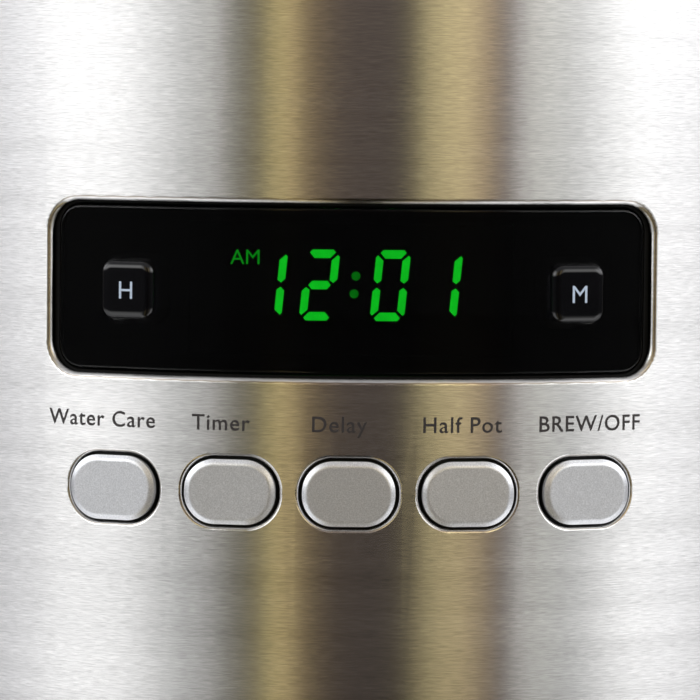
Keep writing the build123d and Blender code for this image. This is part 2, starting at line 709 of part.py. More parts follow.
def stem_hole(angle, z):
    """A square through-hole in the carrier for one stem."""
    a = radians(angle)
    middle = (CARRIER_IN + CARRIER_OUT) / 2
    return Pos(middle * sin(a), -middle * cos(a), z) * Rot(0, 0, angle) * Box(STEM_HOLE, 12, STEM_HOLE)


def panel_carrier():
    """Bracket behind the panel that guides the stems and holds the board."""
    wall = sector(CARRIER_IN, CARRIER_OUT, CARRIER_HALF_DEG, CARRIER_Z0, CARRIER_Z1)
    for z in (CARRIER_Z0, CARRIER_Z1 - 2):
        wall += sector(CARRIER_IN, FRONT_R - 3.8, CARRIER_HALF_DEG, z, z + 2)
    half_x = MODULE_X + 0.3
    half_z = MODULE_HALF_H + 0.3
    wall -= block(-half_x, half_x, -FRONT_R, -80, WINDOW_Z - half_z, WINDOW_Z + half_z)
    for angle in BUTTON_ANGLES:
        wall -= stem_hole(angle, BUTTON_Z)
    for angle in KEYS.values():
        wall -= stem_hole(angle, KEY_Z)
    for x, z in BOARD_CORNERS:
        wall += rod_y(3.0, -81.0, BOARD_Y, x, z)
        wall -= rod_y(0.9, -80.0, BOARD_Y + 1, x, z)
    return wall


def led_module():
    return block(-MODULE_X, MODULE_X, MODULE_FACE_Y, BOARD_Y, WINDOW_Z - MODULE_HALF_H, WINDOW_Z + MODULE_HALF_H)


def control_board():
    """Board behind the panel, with a processor and a connector on its rear side."""
    back = BOARD_Y + BOARD_T
    board = block(-BOARD_HALF_X, BOARD_HALF_X, BOARD_Y, back, 279, 349)
    for x, z in BOARD_CORNERS:
        board -= rod_y(1.2, BOARD_Y - 2, BOARD_Y + 4, x, z)
    processor = block(-12, 12, back, back + 2.6, 300, 312)
    connector = block(8, 28, back, back + 6, 284, 290)
    return board + processor + connector


def stem_spot(angle):
    """Where a stem pushed along the panel's normal meets its switch."""
    a = radians(angle)
    run = FRONT_R * cos(a) + STEM_END_Y
    return FRONT_R * sin(a) - run * sin(a) / cos(a)


def tact_switches():
    """A small switch on the board behind each button and key."""
    spots = [(angle, BUTTON_Z) for angle in BUTTON_ANGLES]
    spots += [(angle, KEY_Z) for angle in KEYS.values()]
    front = BOARD_Y - SWITCH_BODY
    half = SWITCH_HALF
    switches = []
    for angle, z in spots:
        x = stem_spot(angle)
        body = block(x - half, x + half, front, BOARD_Y, z - half, z + half)
        switches.append(body + rod_y(1.75, BOARD_Y - SWITCH_TIP, front, x, z))
    return Compound(children=switches)


def panel_screws():
    back = BOARD_Y + BOARD_T
    return Compound(children=[
        Pos(x, back, z) * Rot(-90, 0, 0) * screw(2.2, 1.2, 0.85, 6) for x, z in BOARD_CORNERS
    ])


def stem(angle, z):
    """Square stem from a cap's flange back to the plane just in front of the switches."""
    bar = on_panel(angle, z) * Pos(0, 0, -16) * Box(STEM_W, STEM_W, 26)
    return bar & block(-80, 80, -120, STEM_END_Y, z - STEM_W / 2, z + STEM_W / 2)


def panel_button(angle):
    """Rounded oblong cap with a bevelled edge, a flange behind the steel and a stem."""
    cap = extrude(RectangleRounded(BUTTON_W, BUTTON_H, BUTTON_CORNER), BUTTON_DEPTH + BUTTON_PROUD)
    cap = chamfer(cap.edges().group_by(Axis.Z)[-1], BUTTON_BEVEL * BUTTON_SLOPE, BUTTON_BEVEL)
    cap = fillet(cap.edges().group_by(Axis.Z)[-1], BUTTON_EDGE)
    flange = extrude(
        RectangleRounded(BUTTON_W + 2 * BUTTON_FLANGE, BUTTON_H + 2 * BUTTON_FLANGE, BUTTON_CORNER + 1),
        BUTTON_FLANGE_T,
    )
    head = Pos(0, 0, -BUTTON_DEPTH) * cap + Pos(0, 0, -BUTTON_DEPTH - BUTTON_FLANGE_T) * flange
    return on_panel(angle, BUTTON_Z) * head + stem(angle, BUTTON_Z)


def clock_key(angle):
    """Square key standing proud of the lens, with rounded edges."""
    low = LENS_OUT - FRONT_R - LENS_T - 0.6
    cap = extrude(RectangleRounded(KEY_W, KEY_H, KEY_CORNER), LENS_T + 0.6 + KEY_PROUD)
    cap = fillet(cap.edges().group_by(Axis.Z)[-1], KEY_EDGE)
    flange = extrude(RectangleRounded(KEY_W + 2 * KEY_FLANGE, KEY_H + 2 * KEY_FLANGE, KEY_CORNER + 1), KEY_FLANGE_T)
    head = Pos(0, 0, low) * cap + Pos(0, 0, low - 1.0) * flange
    return on_panel(angle, KEY_Z) * head + stem(angle, KEY_Z)


def top_deck():
    """Fixed cap over the front of the head, with rounded upper edge."""
    y_to = LID_Y - 0.6
    cap = prism(body_plan(0.0, -FAR, y_to), HEAD_Z1 + GAP, TOP_Z)
    edge = [e for e in cap.edges() if abs(e.center().Z - TOP_Z) < 0.01 and e.center().Y < y_to - 1]
    cap = fillet(edge, 5)
    return cap - prism(body_plan(3.0, -FAR, y_to - 3), HEAD_Z1, TOP_Z - 3)


def tank_lid():
    """Hinged cover of the water tank with two hinge knuckles at the back."""
    axis = (LID_AXIS_Y, LID_AXIS_Z)
    lid = prism(body_plan(0.0, LID_Y, LID_AXIS_Y), HEAD_Z1 + 0.2, TOP_Z)
    sides = [e for e in lid.edges() if abs(e.center().Z - TOP_Z) < 0.01 and abs(e.center().X) > FRONT_R - 20]
    lid = fillet(sides, 5)
    lid -= prism(body_plan(3.0, LID_Y + 3, LID_AXIS_Y + 9), HEAD_Z1, TOP_Z - 2.6)
    lid += rod_x(LID_KNUCKLE_R, -90, 90, *axis) & block(-90, 90, LID_AXIS_Y - 11, LID_AXIS_Y + 5, HEAD_Z1, TOP_Z)
    for x in (-LUG_X, LUG_X):
        half = LUG_HALF + LUG_GAP
        lid -= block(x - half, x + half, LID_AXIS_Y - 6, LID_AXIS_Y + 9, HEAD_Z1 - 1, TOP_Z + 1)
        lid -= rod_x(LID_PIN_R + RUNNING, x - 10, x + 10, *axis)
    thumb = Pos(0, LID_Y - 1, TOP_Z + 1) * Rot(90, 0, 0) * Cylinder(14, 8)
    return lid - (thumb & block(-20, 20, LID_Y - 1, LID_Y + 2, TOP_Z - 4, TOP_Z + 2))


# ---------------------------------------------------------------- basket
def basket_hinge_pin():
    pin = on_hinge(HINGE_R - 0.02, BASKET_Z0 - 0.5, HEAD_Z0 + 11.9)
    return pin + on_hinge(BARREL_R - 1.5, BASKET_Z0 - 2.6, BASKET_Z0 - 0.5)


def basket_front():
    """Curved front wall with rounded lower corners and a softened outer edge."""
    wall = sector(BASKET_IN, BASKET_OUT, BASKET_HALF_DEG, BASKET_Z0, BASKET_Z1)
    corners = [e for e in radial_edges(wall, BASKET_OUT - BASKET_IN) if e.center().Z < BASKET_Z0 + 1]
    wall = fillet(corners, BASKET_CORNER)
    outline = [e for e in wall.edges() if abs(from_axis(e.position_at(0.5)) - BASKET_OUT) < 0.01]
    return fillet(outline, BASKET_EDGE)


def basket_holder():
    """Swinging carrier: curved front, ring for the filter cup, hinge barrel and finger grip."""
    shelf = (Circle(BASKET_IN + 1.2) & (Pos(0, -40) * Rectangle(220, 120))) + Pos(*BREW) * Circle(68)
    ring = prism(shelf - Pos(*BREW) * Circle(RING_R), RING_Z - 3, RING_Z)
    skirt = tube(RING_R + 2.5, RING_R, RING_Z - 26, RING_Z - 2, *BREW)
    holder = basket_front() + ring + skirt + on_hinge(BARREL_R, BASKET_Z0, BASKET_Z1)
    for angle in (-40, 0, 40):
        a = radians(angle)
        rib = Pos(80 * sin(a), -80 * cos(a), RING_Z - 9) * Rot(0, 0, angle) * Box(2, 30, 14)
        holder += rib - disc(RING_R + 1.5, BASKET_Z0, BASKET_Z1, *BREW)
    grip = sector(BASKET_OUT - 0.4, BASKET_OUT + 6.1, 9, 206, 236, 42)
    outer_corners = grip.edges().filter_by(Axis.Z).sort_by(lambda e: from_axis(e.center()))[-2:]
    holder += fillet(outer_corners, 3)
    return holder - on_hinge(HINGE_R + RUNNING, BASKET_Z0 - 1, BASKET_Z1 + 1)


def cone_rib(top_r, low_r, z0, z1, thick, width, length):
    """A straight bar lying along a cone's wall, in the plane y 0."""
    slope = degrees(atan((top_r - low_r) / (z1 - z0)))
    return Pos((top_r + low_r) / 2, 0, (z0 + z1) / 2) * Rot(0, slope, 0) * Box(thick, width, length)


def filter_basket():
    """Tapered cup with ribs inside; it lifts out of the holder."""
    under = CUP_FLOOR - 2
    collar = CUP_FLOOR - 5
    top = RING_Z + 1.9
    cup = turned([
        (VALVE_HOLE, CUP_FLOOR), (CUP_LOW_R, CUP_FLOOR), (CUP_TOP_R, top), (CUP_RIM_R, top),
        (CUP_RIM_R, RING_Z + GAP), (CUP_TOP_R + CUP_WALL, RING_Z + GAP), (CUP_LOW_R + CUP_WALL, under),
        (VALVE_HOLE + 3, under), (VALVE_HOLE + 3, collar), (VALVE_HOLE, collar),
    ])
    return cup + spaced(CUP_RIBS, cone_rib(CUP_TOP_R + 0.2, CUP_LOW_R + 0.2, CUP_FLOOR, RING_Z, 1.6, 1.4, 38))


def mesh_filter_frame():
    """Rim, foot ring and slanted ribs that carry the fine screen."""
    frame = tube(MESH_TOP_R + 3.5, MESH_TOP_R + 0.3, MESH_Z1 - 3, MESH_Z1, *BREW)
    frame += tube(MESH_LOW_R + 4, MESH_LOW_R + 1.7, MESH_Z0, MESH_Z0 + 3, *BREW)
    frame += spaced(MESH_RIBS, cone_rib(MESH_TOP_R + 1.3, MESH_LOW_R + 1.3, MESH_Z0, MESH_Z1, 1.4, 3, 41))
    return frame & block(-80, 80, -100, 80, MESH_Z0, MESH_Z1)


def mesh_filter_screen():
    low = MESH_Z0 + SCREEN_T
    return turned([
        (0, low), (MESH_LOW_R, low), (MESH_TOP_R, MESH_Z1), (MESH_TOP_R - SCREEN_T, MESH_Z1),
        (MESH_LOW_R - SCREEN_T, low + SCREEN_T), (0, low + SCREEN_T),
    ])


def drip_valve():
    """Valve that a carafe lifts: a head on the cup's floor, a stem and a foot below."""
    foot = VALVE_FOOT_Z
    seat = CUP_FLOOR + GAP
    top = CUP_FLOOR + 2.6
    return turned([
        (0, foot), (6.2, foot), (7, foot + 0.6), (7, foot + 1.6), (VALVE_STEM_R, foot + 1.6), (VALVE_STEM_R, seat),
        (8, seat), (7.4, seat + 1.6), (3, top), (0, top),
    ])


def valve_spring():
    """Coil between the valve's foot and the underside of the cup's collar."""
    z0 = VALVE_FOOT_Z + 2.1
    height = CUP_FLOOR - 5.5 - z0
    coil = Helix(pitch=height / 3.5, height=height, radius=SPRING_R)
    start = Plane(origin=coil @ 0, z_dir=coil % 0)
    return Pos(0, BREW_Y, z0) * sweep(start * Circle(0.4), path=coil, is_frenet=True)


# ---------------------------------------------------------------- carafe
def turned_curve(points):
    """A solid turned from a smooth curve that starts at the bottom."""
    top = points[-1]
    low = points[0]
    sides = Polyline(top, (0, top[1]), (0, low[1]), low)
    return Pos(0, BREW_Y) * revolve(Plane.XZ * make_face([Spline(*points), sides]), Axis.Z, 360)


def carafe_glass():
    """Blown glass bowl with an even wall and a base pushed up in the middle."""
    outside = turned_curve(GLASS_PROFILE)
    low_r, low_z = GLASS_PROFILE[0]
    top_r, top_z = GLASS_PROFILE[-1]
    inner_points = [(r - GLASS_WALL, z) for r, z in GLASS_PROFILE[1:-1]]
    inner_points = [(low_r - 2, low_z + 3.4)] + inner_points + [(top_r - GLASS_WALL, top_z + 1)]
    push_up = turned([(0, low_z - 1), (46, low_z - 1), (40, low_z + 1.2), (0, low_z + 1.6)])
    return outside - turned_curve(inner_points) - push_up


def handle_bore(radius, x0, x1):
    """A hole across the handle for its cross screws."""
    return rod_x(radius, x0, x1, HANDLE_SCREW_Y, HANDLE_SCREW_Z)


def carafe_band():
    """Steel strap round the neck, with a bracket for the handle."""
    front = BREW_Y - NECK_BAND_R
    band = tube(NECK_BAND_R + 1.0, NECK_BAND_R, NECK_BAND_Z0, NECK_BAND_Z1, *BREW)
    bracket = block(-4.4, 4.4, front - 9, front - 0.2, NECK_BAND_Z0, NECK_BAND_Z1)
    return band + bracket - handle_bore(1.45, -20, 20)


def carafe_handle():
    """Open grip: an arm from the neck, a bar down the front and a lower end near the glass."""
    neck = BREW_Y - NECK_BAND_R - 1.4
    front = HANDLE_FRONT
    inside = front + HANDLE_T
    under_arm = HANDLE_HIGH - 14
    end = -92.0
    face = make_face(Polyline(
        (neck, under_arm), (neck, HANDLE_HIGH), (front, HANDLE_HIGH), (front, HANDLE_LOW), (end, HANDLE_LOW),
        (end, HANDLE_LOW + 11), (inside, HANDLE_LOW + 13), (inside, under_arm),
        close=True,
    ))
    for x, radius in ((front, 15), (inside, 7), (end, 4)):
        face = fillet([v for v in face.vertices() if abs(v.X - x) < 0.1], radius)
    grip = extrude(Plane.YZ * face, HANDLE_HALF_W, both=True)
    rim = [e for e in grip.edges() if abs(abs(e.center().X) - HANDLE_HALF_W) < 0.01 and e.center().Y < neck - 0.5]
    grip = fillet(rim, 4)
    slot = block(-4.5, 4.5, neck - 7.8, neck + 1, NECK_BAND_Z0 - 3, NECK_BAND_Z1 + GAP)
    slot += handle_bore(1.5, -20, 20)
    for seat in (-13.5, 13.5):
        slot += handle_bore(2.8, seat - 5, seat + 5)
    return grip - slot


def handle_screws():
    """Cross screws that clamp the bracket in the handle."""
    return Compound(children=[
        Pos(side * 8.5, HANDLE_SCREW_Y, HANDLE_SCREW_Z) * Rot(0, side * 90, 0) * screw(2.6, 1.2, 1.4, 7)
        for side in (-1, 1)
    ])


def carafe_lid():
    """Twist-on lid with a drip hole, a raised grip ring and a thumb tab."""
    top = LID_TOP
    lid = turned([
        (3, 170), (34, 173), (40, 173), (40, 158), (43.2, 158), (43.2, 166.4), (51, 166.4), (53, 168.5),
        (52, 174), (44, 178), (38, top), (34, top), (31, 178), (3, 174),
    ])
    tab = Pos(0, BREW_Y - 56, 171.5) * Box(16, 14, 4)
    lid += fillet(tab.edges().filter_by(Axis.Z), 4)
    notch = Rot(0, 0, 180 / LID_NOTCHES) * Pos(39.5, 0, top) * Box(3.4, 1.6, 5)
    return lid - spaced(LID_NOTCHES, notch)


# ---------------------------------------------------------------- write every piece
PIECES = [
    rubber_feet, base_pan, base_housing, base_band, cord_gland, plate_ring, warming_plate, heater_casting,
    heating_element, heater_strap, thermostats, thermal_fuse, power_board, relay, transformer, cold_hose, riser_tube,
    hose_clips, check_valve, water_tank, charcoal_holder, charcoal_pod, shower_head, column_housing, level_window,
    rear_cover, lid_hinge_pins, housing_screws, head_chassis, head_housing, control_panel, display_lens, lens_gasket,
    panel_carrier, led_module, control_board, tact_switches, panel_screws, top_deck, tank_lid, basket_hinge_pin,
    basket_holder, filter_basket, mesh_filter_frame, mesh_filter_screen, drip_valve, valve_spring, carafe_glass,
    carafe_band, carafe_handle, handle_screws, carafe_lid,
]

os.makedirs("parts", exist_ok=True)
for piece in PIECES:
    export_step(piece(), f"parts/{piece.__name__}.step")
for name, angle in zip(BUTTON_NAMES, BUTTON_ANGLES):
    export_step(panel_button(angle), f"parts/{name}.step")
for name, angle in KEYS.items():
    export_step(clock_key(angle), f"parts/{name}.step")
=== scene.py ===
import math

import bmesh
import bpy
from mathutils import Matrix, Vector


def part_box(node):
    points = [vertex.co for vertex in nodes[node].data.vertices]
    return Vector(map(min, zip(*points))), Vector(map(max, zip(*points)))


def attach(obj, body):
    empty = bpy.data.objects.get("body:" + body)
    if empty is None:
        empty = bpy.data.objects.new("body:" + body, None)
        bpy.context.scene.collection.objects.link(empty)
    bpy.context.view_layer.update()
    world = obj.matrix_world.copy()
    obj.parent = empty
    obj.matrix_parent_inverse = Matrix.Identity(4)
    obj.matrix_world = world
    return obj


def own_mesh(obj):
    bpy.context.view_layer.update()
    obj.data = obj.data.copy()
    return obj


# The looks of the drip coffee maker: materials for every CAD piece, the clock's lit digits, the printed
# words, scale marks, studio light and camera. Metres, in the CAD frame: +Z up, and the panel faces -Y.

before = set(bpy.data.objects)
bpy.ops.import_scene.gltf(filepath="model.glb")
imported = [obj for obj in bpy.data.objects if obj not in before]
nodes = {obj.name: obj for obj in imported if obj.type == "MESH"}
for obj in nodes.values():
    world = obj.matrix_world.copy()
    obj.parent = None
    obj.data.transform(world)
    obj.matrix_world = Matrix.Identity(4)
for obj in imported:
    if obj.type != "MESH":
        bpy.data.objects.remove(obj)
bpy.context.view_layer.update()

MM = 0.001


def middle(node, axis):
    """Where the middle of a CAD node's box lies along one axis: 0, 1 or 2."""
    low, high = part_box(node)
    return (low[axis] + high[axis]) / 2


# ---------------------------------------------------------------- sizes
FRONT_R = -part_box("control_panel")[0][1]
BREW_Y = middle("warming_plate", 1)
MODULE_FACE_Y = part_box("led_module")[0][1]
PRINT_T = 0.02 * MM             # thickness of printed ink
LIFT = 0.01 * MM                # how far print floats off the surface under it


# ---------------------------------------------------------------- camera
AIM = Vector((0.0, -FRONT_R, 315.37 * MM))
DISTANCE = 637.4 * MM
AZIMUTH = math.radians(0.63)
ELEVATION = math.radians(3.65)
ROLL = math.radians(0.52)
SENSOR_MM = 36.0
LENS_MM = 204.9


def make_camera():
    back = Vector((
        math.sin(AZIMUTH) * math.cos(ELEVATION),
        -math.cos(AZIMUTH) * math.cos(ELEVATION),
        math.sin(ELEVATION),
    ))
    level = Vector((math.cos(AZIMUTH), math.sin(AZIMUTH), 0.0))
    upright = back.cross(level)
    right = level * math.cos(ROLL) + upright * math.sin(ROLL)
    up = upright * math.cos(ROLL) - level * math.sin(ROLL)
    data = bpy.data.cameras.new("camera")
    data.sensor_width = SENSOR_MM
    data.lens = LENS_MM
    data.clip_start = 0.01
    data.clip_end = 50.0
    camera = bpy.data.objects.new("camera", data)
    bpy.context.scene.collection.objects.link(camera)
    turn = Matrix((right, up, back)).transposed()
    camera.matrix_world = Matrix.Translation(AIM + back * DISTANCE) @ turn.to_4x4()
    bpy.context.scene.camera = camera


make_camera()


# ---------------------------------------------------------------- node helpers
class Shader:
    """A node tree with short calls for the nodes that are used again and again."""

    def __init__(self, owner, output="ShaderNodeOutputMaterial"):
        self.owner = owner
        owner.use_nodes = True
        self.tree = owner.node_tree
        self.tree.nodes.clear()
        self.out = self.node(output)
        self.coordinates = None

    def node(self, kind, **settings):
        made = self.tree.nodes.new(kind)
        for key, value in settings.items():
            setattr(made, key, value)
        return made

    def feed(self, socket, value):
        """Links an output to a socket, or sets the socket's own value."""
        if hasattr(value, "is_output"):
            self.tree.links.new(value, socket)
        elif socket.type == "RGBA" and len(value) == 3:
            socket.default_value = (*value, 1.0)
        else:
            socket.default_value = value

    def put(self, made, **sockets):
        """Feeds a node's inputs by name: an underscore in a name stands for a space."""
        for key, value in sockets.items():
            self.feed(made.inputs[key.replace("_", " ")], value)
        return made

    def surface(self, output):
        self.tree.links.new(output, self.out.inputs["Surface"])

    def principled(self, **sockets):
        shader = self.put(self.node("ShaderNodeBsdfPrincipled"), **sockets)
        self.surface(shader.outputs[0])
        return self.owner

    def place(self):
        """Object coordinates, in metres."""
        if self.coordinates is None:
            self.coordinates = self.node("ShaderNodeTexCoord").outputs["Object"]
        return self.coordinates

    def math(self, operation, a, b=0.0):
        made = self.node("ShaderNodeMath", operation=operation)
        self.feed(made.inputs[0], a)
        self.feed(made.inputs[1], b)
        return made.outputs[0]

    def parts(self, vector):
        return self.put(self.node("ShaderNodeSeparateXYZ"), Vector=vector).outputs

    def scaled(self, vector, scale):
        return self.put(self.node("ShaderNodeMapping"), Vector=vector, Scale=scale).outputs[0]

    def around(self):
        """(arc length round the machine's axis, 0, height): brush lines follow this."""
        at = self.parts(self.place())
        forward = self.math("MULTIPLY", at["Y"], -1.0)
        arc = self.math("MULTIPLY", self.math("ARCTAN2", at["X"], forward), FRONT_R)
        return self.put(self.node("ShaderNodeCombineXYZ"), X=arc, Z=at["Z"]).outputs[0]

    def outward(self, axis_y=0.0):
        """Distance from the machine's upright axis, or from another one further back."""
        at = self.parts(self.place())
        back = self.math("SUBTRACT", at["Y"], axis_y)
        squares = self.math("ADD", self.math("POWER", at["X"], 2.0), self.math("POWER", back, 2.0))
        return self.math("SQRT", squares)

    def noise(self, vector, scale=1.0, detail=3.0, roughness=0.5):
        made = self.node("ShaderNodeTexNoise")
        self.put(made, Vector=vector, Scale=scale, Detail=detail, Roughness=roughness)
        return made.outputs["Fac"]

    def cells(self, vector, scale):
        return self.put(self.node("ShaderNodeTexVoronoi"), Vector=vector, Scale=scale).outputs["Distance"]

    def spread(self, value, low, high, out_low=0.0, out_high=1.0):
        """Maps low to high onto out_low to out_high, and holds the ends."""
        made = self.node("ShaderNodeMapRange")
        self.feed(made.inputs["Value"], value)
        made.inputs["From Min"].default_value = low
        made.inputs["From Max"].default_value = high
        made.inputs["To Min"].default_value = out_low
        made.inputs["To Max"].default_value = out_high
        return made.outputs["Result"]

    def mixed(self, factor, dark, light):
        """Two colours mixed by a factor."""
        made = self.node("ShaderNodeMix", data_type="RGBA")
        self.feed(made.inputs[0], factor)
        self.feed(made.inputs[6], dark)
        self.feed(made.inputs[7], light)
        return made.outputs[2]

    def times(self, one, other):
        """The product of two colours."""
        made = self.node("ShaderNodeMix", data_type="RGBA", blend_type="MULTIPLY")
        made.inputs[0].default_value = 1.0
        self.feed(made.inputs[6], one)
        self.feed(made.inputs[7], other)
        return made.outputs[2]

    def ramp(self, value, stops):
        """A colour read off a list of (position, colour) stops."""
        made = self.node("ShaderNodeValToRGB")
        elements = made.color_ramp.elements
        elements.remove(elements[1])
        for number, (position, tone) in enumerate(stops):
            stop = elements[0] if number == 0 else elements.new(position)
            stop.position = position
            stop.color = (*tone, 1.0)
        self.feed(made.inputs[0], value)
        return made.outputs[0]

    def bump(self, height, strength, distance):
        made = self.node("ShaderNodeBump")
        return self.put(made, Height=height, Strength=strength, Distance=distance).outputs[0]


def material(name):
    return Shader(bpy.data.materials.new(name))


def lighter(tone, by, most=1.0):
    """A colour times a factor, with no channel above the most."""
    return tuple(min(c * by, most) for c in tone)


# ---------------------------------------------------------------- materials
# Painted light down a rolled steel edge, by share of its depth: a brown painted reflection at the lip, then
# the plain steel tone, then painted shade deep in the hole. They start deeper than the flats of the curved
# sheet's mesh lie.
ROLL_DEPTH = 1.2 * MM
ROLLED_EDGE_PAINTED_LIGHT = [
    (0.0, (1.0, 1.0, 1.0)),
    (0.022, (1.0, 1.0, 1.0)),
    (0.05, (0.36, 0.31, 0.25)),
    (0.11, (0.90, 0.89, 0.88)),
    (0.48, (0.95, 0.95, 0.95)),
    (0.66, (0.25, 0.25, 0.25)),
    (0.85, (0.01, 0.01, 0.01)),
]


def brushed_steel(name, tone, streak=1.0, edge_radius=FRONT_R):
    """Hairline finish that runs round the machine: reflections stay sharp sideways and spread up and down.
    Edges rolled back from edge_radius get painted light: a brown painted reflection, then the plain tone,
    ending in painted shade."""
    s = material(name)
    along = s.around()
    fine = s.noise(s.scaled(along, (420, 1, 5200)), detail=2.0, roughness=0.6)
    short = s.noise(s.scaled(along, (700, 1, 8000)), detail=1.0)
    long = s.noise(s.scaled(along, (140, 1, 3000)), detail=2.0, roughness=0.6)
    broad = s.noise(s.scaled(along, (12, 1, 300)), detail=2.0)
    hairs = s.math("ADD", s.math("MULTIPLY", fine, 0.55), s.math("MULTIPLY", short, 0.25))
    hairs = s.math("ADD", hairs, s.math("MULTIPLY", long, 0.20))
    level = s.spread(hairs, 0.36, 0.64)
    sheet = s.mixed(level, lighter(tone, 1.0 - 0.20 * streak), lighter(tone, 1.0 + 0.10 * streak))
    depth = s.math("DIVIDE", s.math("SUBTRACT", edge_radius, s.outward()), ROLL_DEPTH)
    # painted reflection and painted shade on the rolled edges, read off the depth below edge_radius
    painted_edge_light = s.ramp(depth, ROLLED_EDGE_PAINTED_LIGHT)
    tangent = s.node("ShaderNodeTangent", direction_type="RADIAL", axis="Z").outputs[0]
    return s.principled(
        Base_Color=s.times(sheet, painted_edge_light), Metallic=1.0, Roughness=s.spread(broad, 0.3, 0.7, 0.23, 0.26),
        Anisotropic=1.0, Anisotropic_Rotation=0.25, Tangent=tangent, Normal=s.bump(hairs, 0.10, 0.02 * MM),
    )


def satin_silver():
    """Fine metallic paint on the buttons' faces; below the panel the caps are painted near-black as painted
    shade in the gap round each button.
    """
    s = material("satin_silver")
    grain = s.noise(s.place(), 4200.0, 2.0, 0.7)
    flakes = s.cells(s.place(), 5200.0)
    level = s.math("ADD", s.math("MULTIPLY", grain, 0.6), s.math("MULTIPLY", flakes, 0.4))
    paint = s.mixed(s.spread(level, 0.3, 0.7), (0.62, 0.635, 0.66), (0.87, 0.885, 0.92))
    # below the panel's face the caps turn near-black: painted shade in the gap round each button
    silver_face_over_shade = s.spread(s.outward(), FRONT_R - 0.25 * MM, FRONT_R - 0.05 * MM)
    return s.principled(
        Base_Color=s.mixed(silver_face_over_shade, (0.003, 0.003, 0.003), paint), Metallic=s.math("MULTIPLY", silver_face_over_shade, 0.80),
        Roughness=s.spread(grain, 0.3, 0.7, 0.34, 0.44), Normal=s.bump(level, 0.25, 0.02 * MM),
    )


def moulded_plastic(name, tone, roughness=0.42, grain_size=900.0, depth=0.02):
    """Moulded plastic with a fine spark-eroded grain, faint cloudiness and uneven sheen."""
    s = material(name)
    grain = s.noise(s.place(), grain_size * 2.4, 3.0, 0.6)
    pits = s.cells(s.place(), grain_size * 1.8)
    cloud = s.noise(s.place(), 28.0, 4.0, 0.6)
    colour = s.mixed(s.spread(cloud, 0.3, 0.7), lighter(tone, 0.86), lighter(tone, 1.22))
    height = s.math("ADD", grain, s.math("MULTIPLY", pits, 0.5))
    return s.principled(
        Base_Color=colour, Roughness=s.spread(cloud, 0.3, 0.7, roughness - 0.05, roughness + 0.07),
        Normal=s.bump(height, 0.5, depth * MM),
    )


def gloss_black():
    """Polished black plastic with very faint smudges in its sheen."""
    s = material("gloss_black")
    smudge = s.noise(s.place(), 160.0, 5.0, 0.65)
    return s.principled(
        Base_Color=s.mixed(smudge, (0.0015, 0.0015, 0.002), (0.003, 0.003, 0.004)),
        Roughness=s.spread(smudge, 0.35, 0.7, 0.07, 0.14),
        Normal=s.bump(s.noise(s.place(), 2500.0, 2.0), 0.1, 0.01 * MM),
    )


def smoked_lens():
    """Dark tinted window: black from outside, but the lit digits show through."""
    s = material("smoked_lens")
    smudge = s.noise(s.place(), 120.0, 5.0, 0.65)
    return s.principled(
        Base_Color=s.mixed(smudge, (0.085, 0.085, 0.088), (0.095, 0.095, 0.098)), Transmission_Weight=1.0,
        Roughness=s.spread(smudge, 0.4, 0.8, 0.0, 0.03), IOR=1.30,
    )


def clear_glass(name, tint):
    """Blown glass or clear plastic with a slow, faint ripple."""
    s = material(name)
    ripple = s.noise(s.place(), 22.0, 2.0, 0.5)
    return s.principled(
        Base_Color=s.mixed(ripple, lighter(tint, 0.985), tint), Transmission_Weight=1.0, Roughness=0.0,
        IOR=1.47, Normal=s.bump(ripple, 0.08, 0.3 * MM),
    )


def milky_plastic():
    """Natural polypropylene: lets light through but blurs what is behind it."""
    s = material("milky_plastic")
    cloud = s.noise(s.place(), 16.0, 4.0, 0.6)
    return s.principled(
        Base_Color=s.mixed(cloud, (0.80, 0.81, 0.80), (0.90, 0.905, 0.90)),
        Roughness=s.spread(cloud, 0.3, 0.7, 0.34, 0.44), Transmission_Weight=0.4, IOR=1.49,
        Normal=s.bump(s.noise(s.place(), 1400.0, 2.0), 0.2, 0.02 * MM),
    )


def rubber(name="rubber", tone=(0.020, 0.020, 0.021)):
    """Matt rubber with fine pores and a little dust."""
    s = material(name)
    pores = s.noise(s.place(), 1800.0, 4.0, 0.7)
    dust = s.noise(s.place(), 90.0, 4.0)
    return s.principled(
        Base_Color=s.mixed(s.spread(dust, 0.4, 0.75), tone, lighter(tone, 2.0)),
        Roughness=s.spread(pores, 0.3, 0.7, 0.68, 0.86), Specular_IOR_Level=0.25,
        Normal=s.bump(pores, 0.35, 0.04 * MM),
    )


def silicone():
    """Cloudy, slightly translucent hose rubber."""
    s = material("silicone")
    cloud = s.noise(s.place(), 60.0, 3.0)
    return s.principled(
        Base_Color=s.mixed(cloud, (0.68, 0.67, 0.63), (0.82, 0.81, 0.78)), Roughness=0.45,
        Subsurface_Weight=0.3, Subsurface_Scale=2 * MM,
        Normal=s.bump(s.noise(s.place(), 900.0, 2.0), 0.2, 0.03 * MM),
    )


def plate_coating():
    """Dark non-stick coating over fine turned rings, with pale flecks and a rubbed bloom."""
    s = material("plate_coating")
    rings = s.math("SINE", s.math("MULTIPLY", s.outward(BREW_Y), 2 * math.pi / (0.9 * MM)))
    flecks = s.spread(s.cells(s.place(), 900.0), 0.10, 0.20, 1.0, 0.0)
    rub = s.noise(s.place(), 45.0, 4.0, 0.6)
    base = s.mixed(s.spread(rub, 0.4, 0.7), (0.018, 0.018, 0.019), (0.036, 0.035, 0.034))
    colour = s.mixed(s.math("MULTIPLY", flecks, 0.35), base, (0.20, 0.20, 0.20))
    return s.principled(
        Base_Color=colour, Roughness=s.spread(rub, 0.3, 0.7, 0.34, 0.50),
        Normal=s.bump(s.math("ADD", rings, flecks), 0.18, 0.03 * MM),
    )


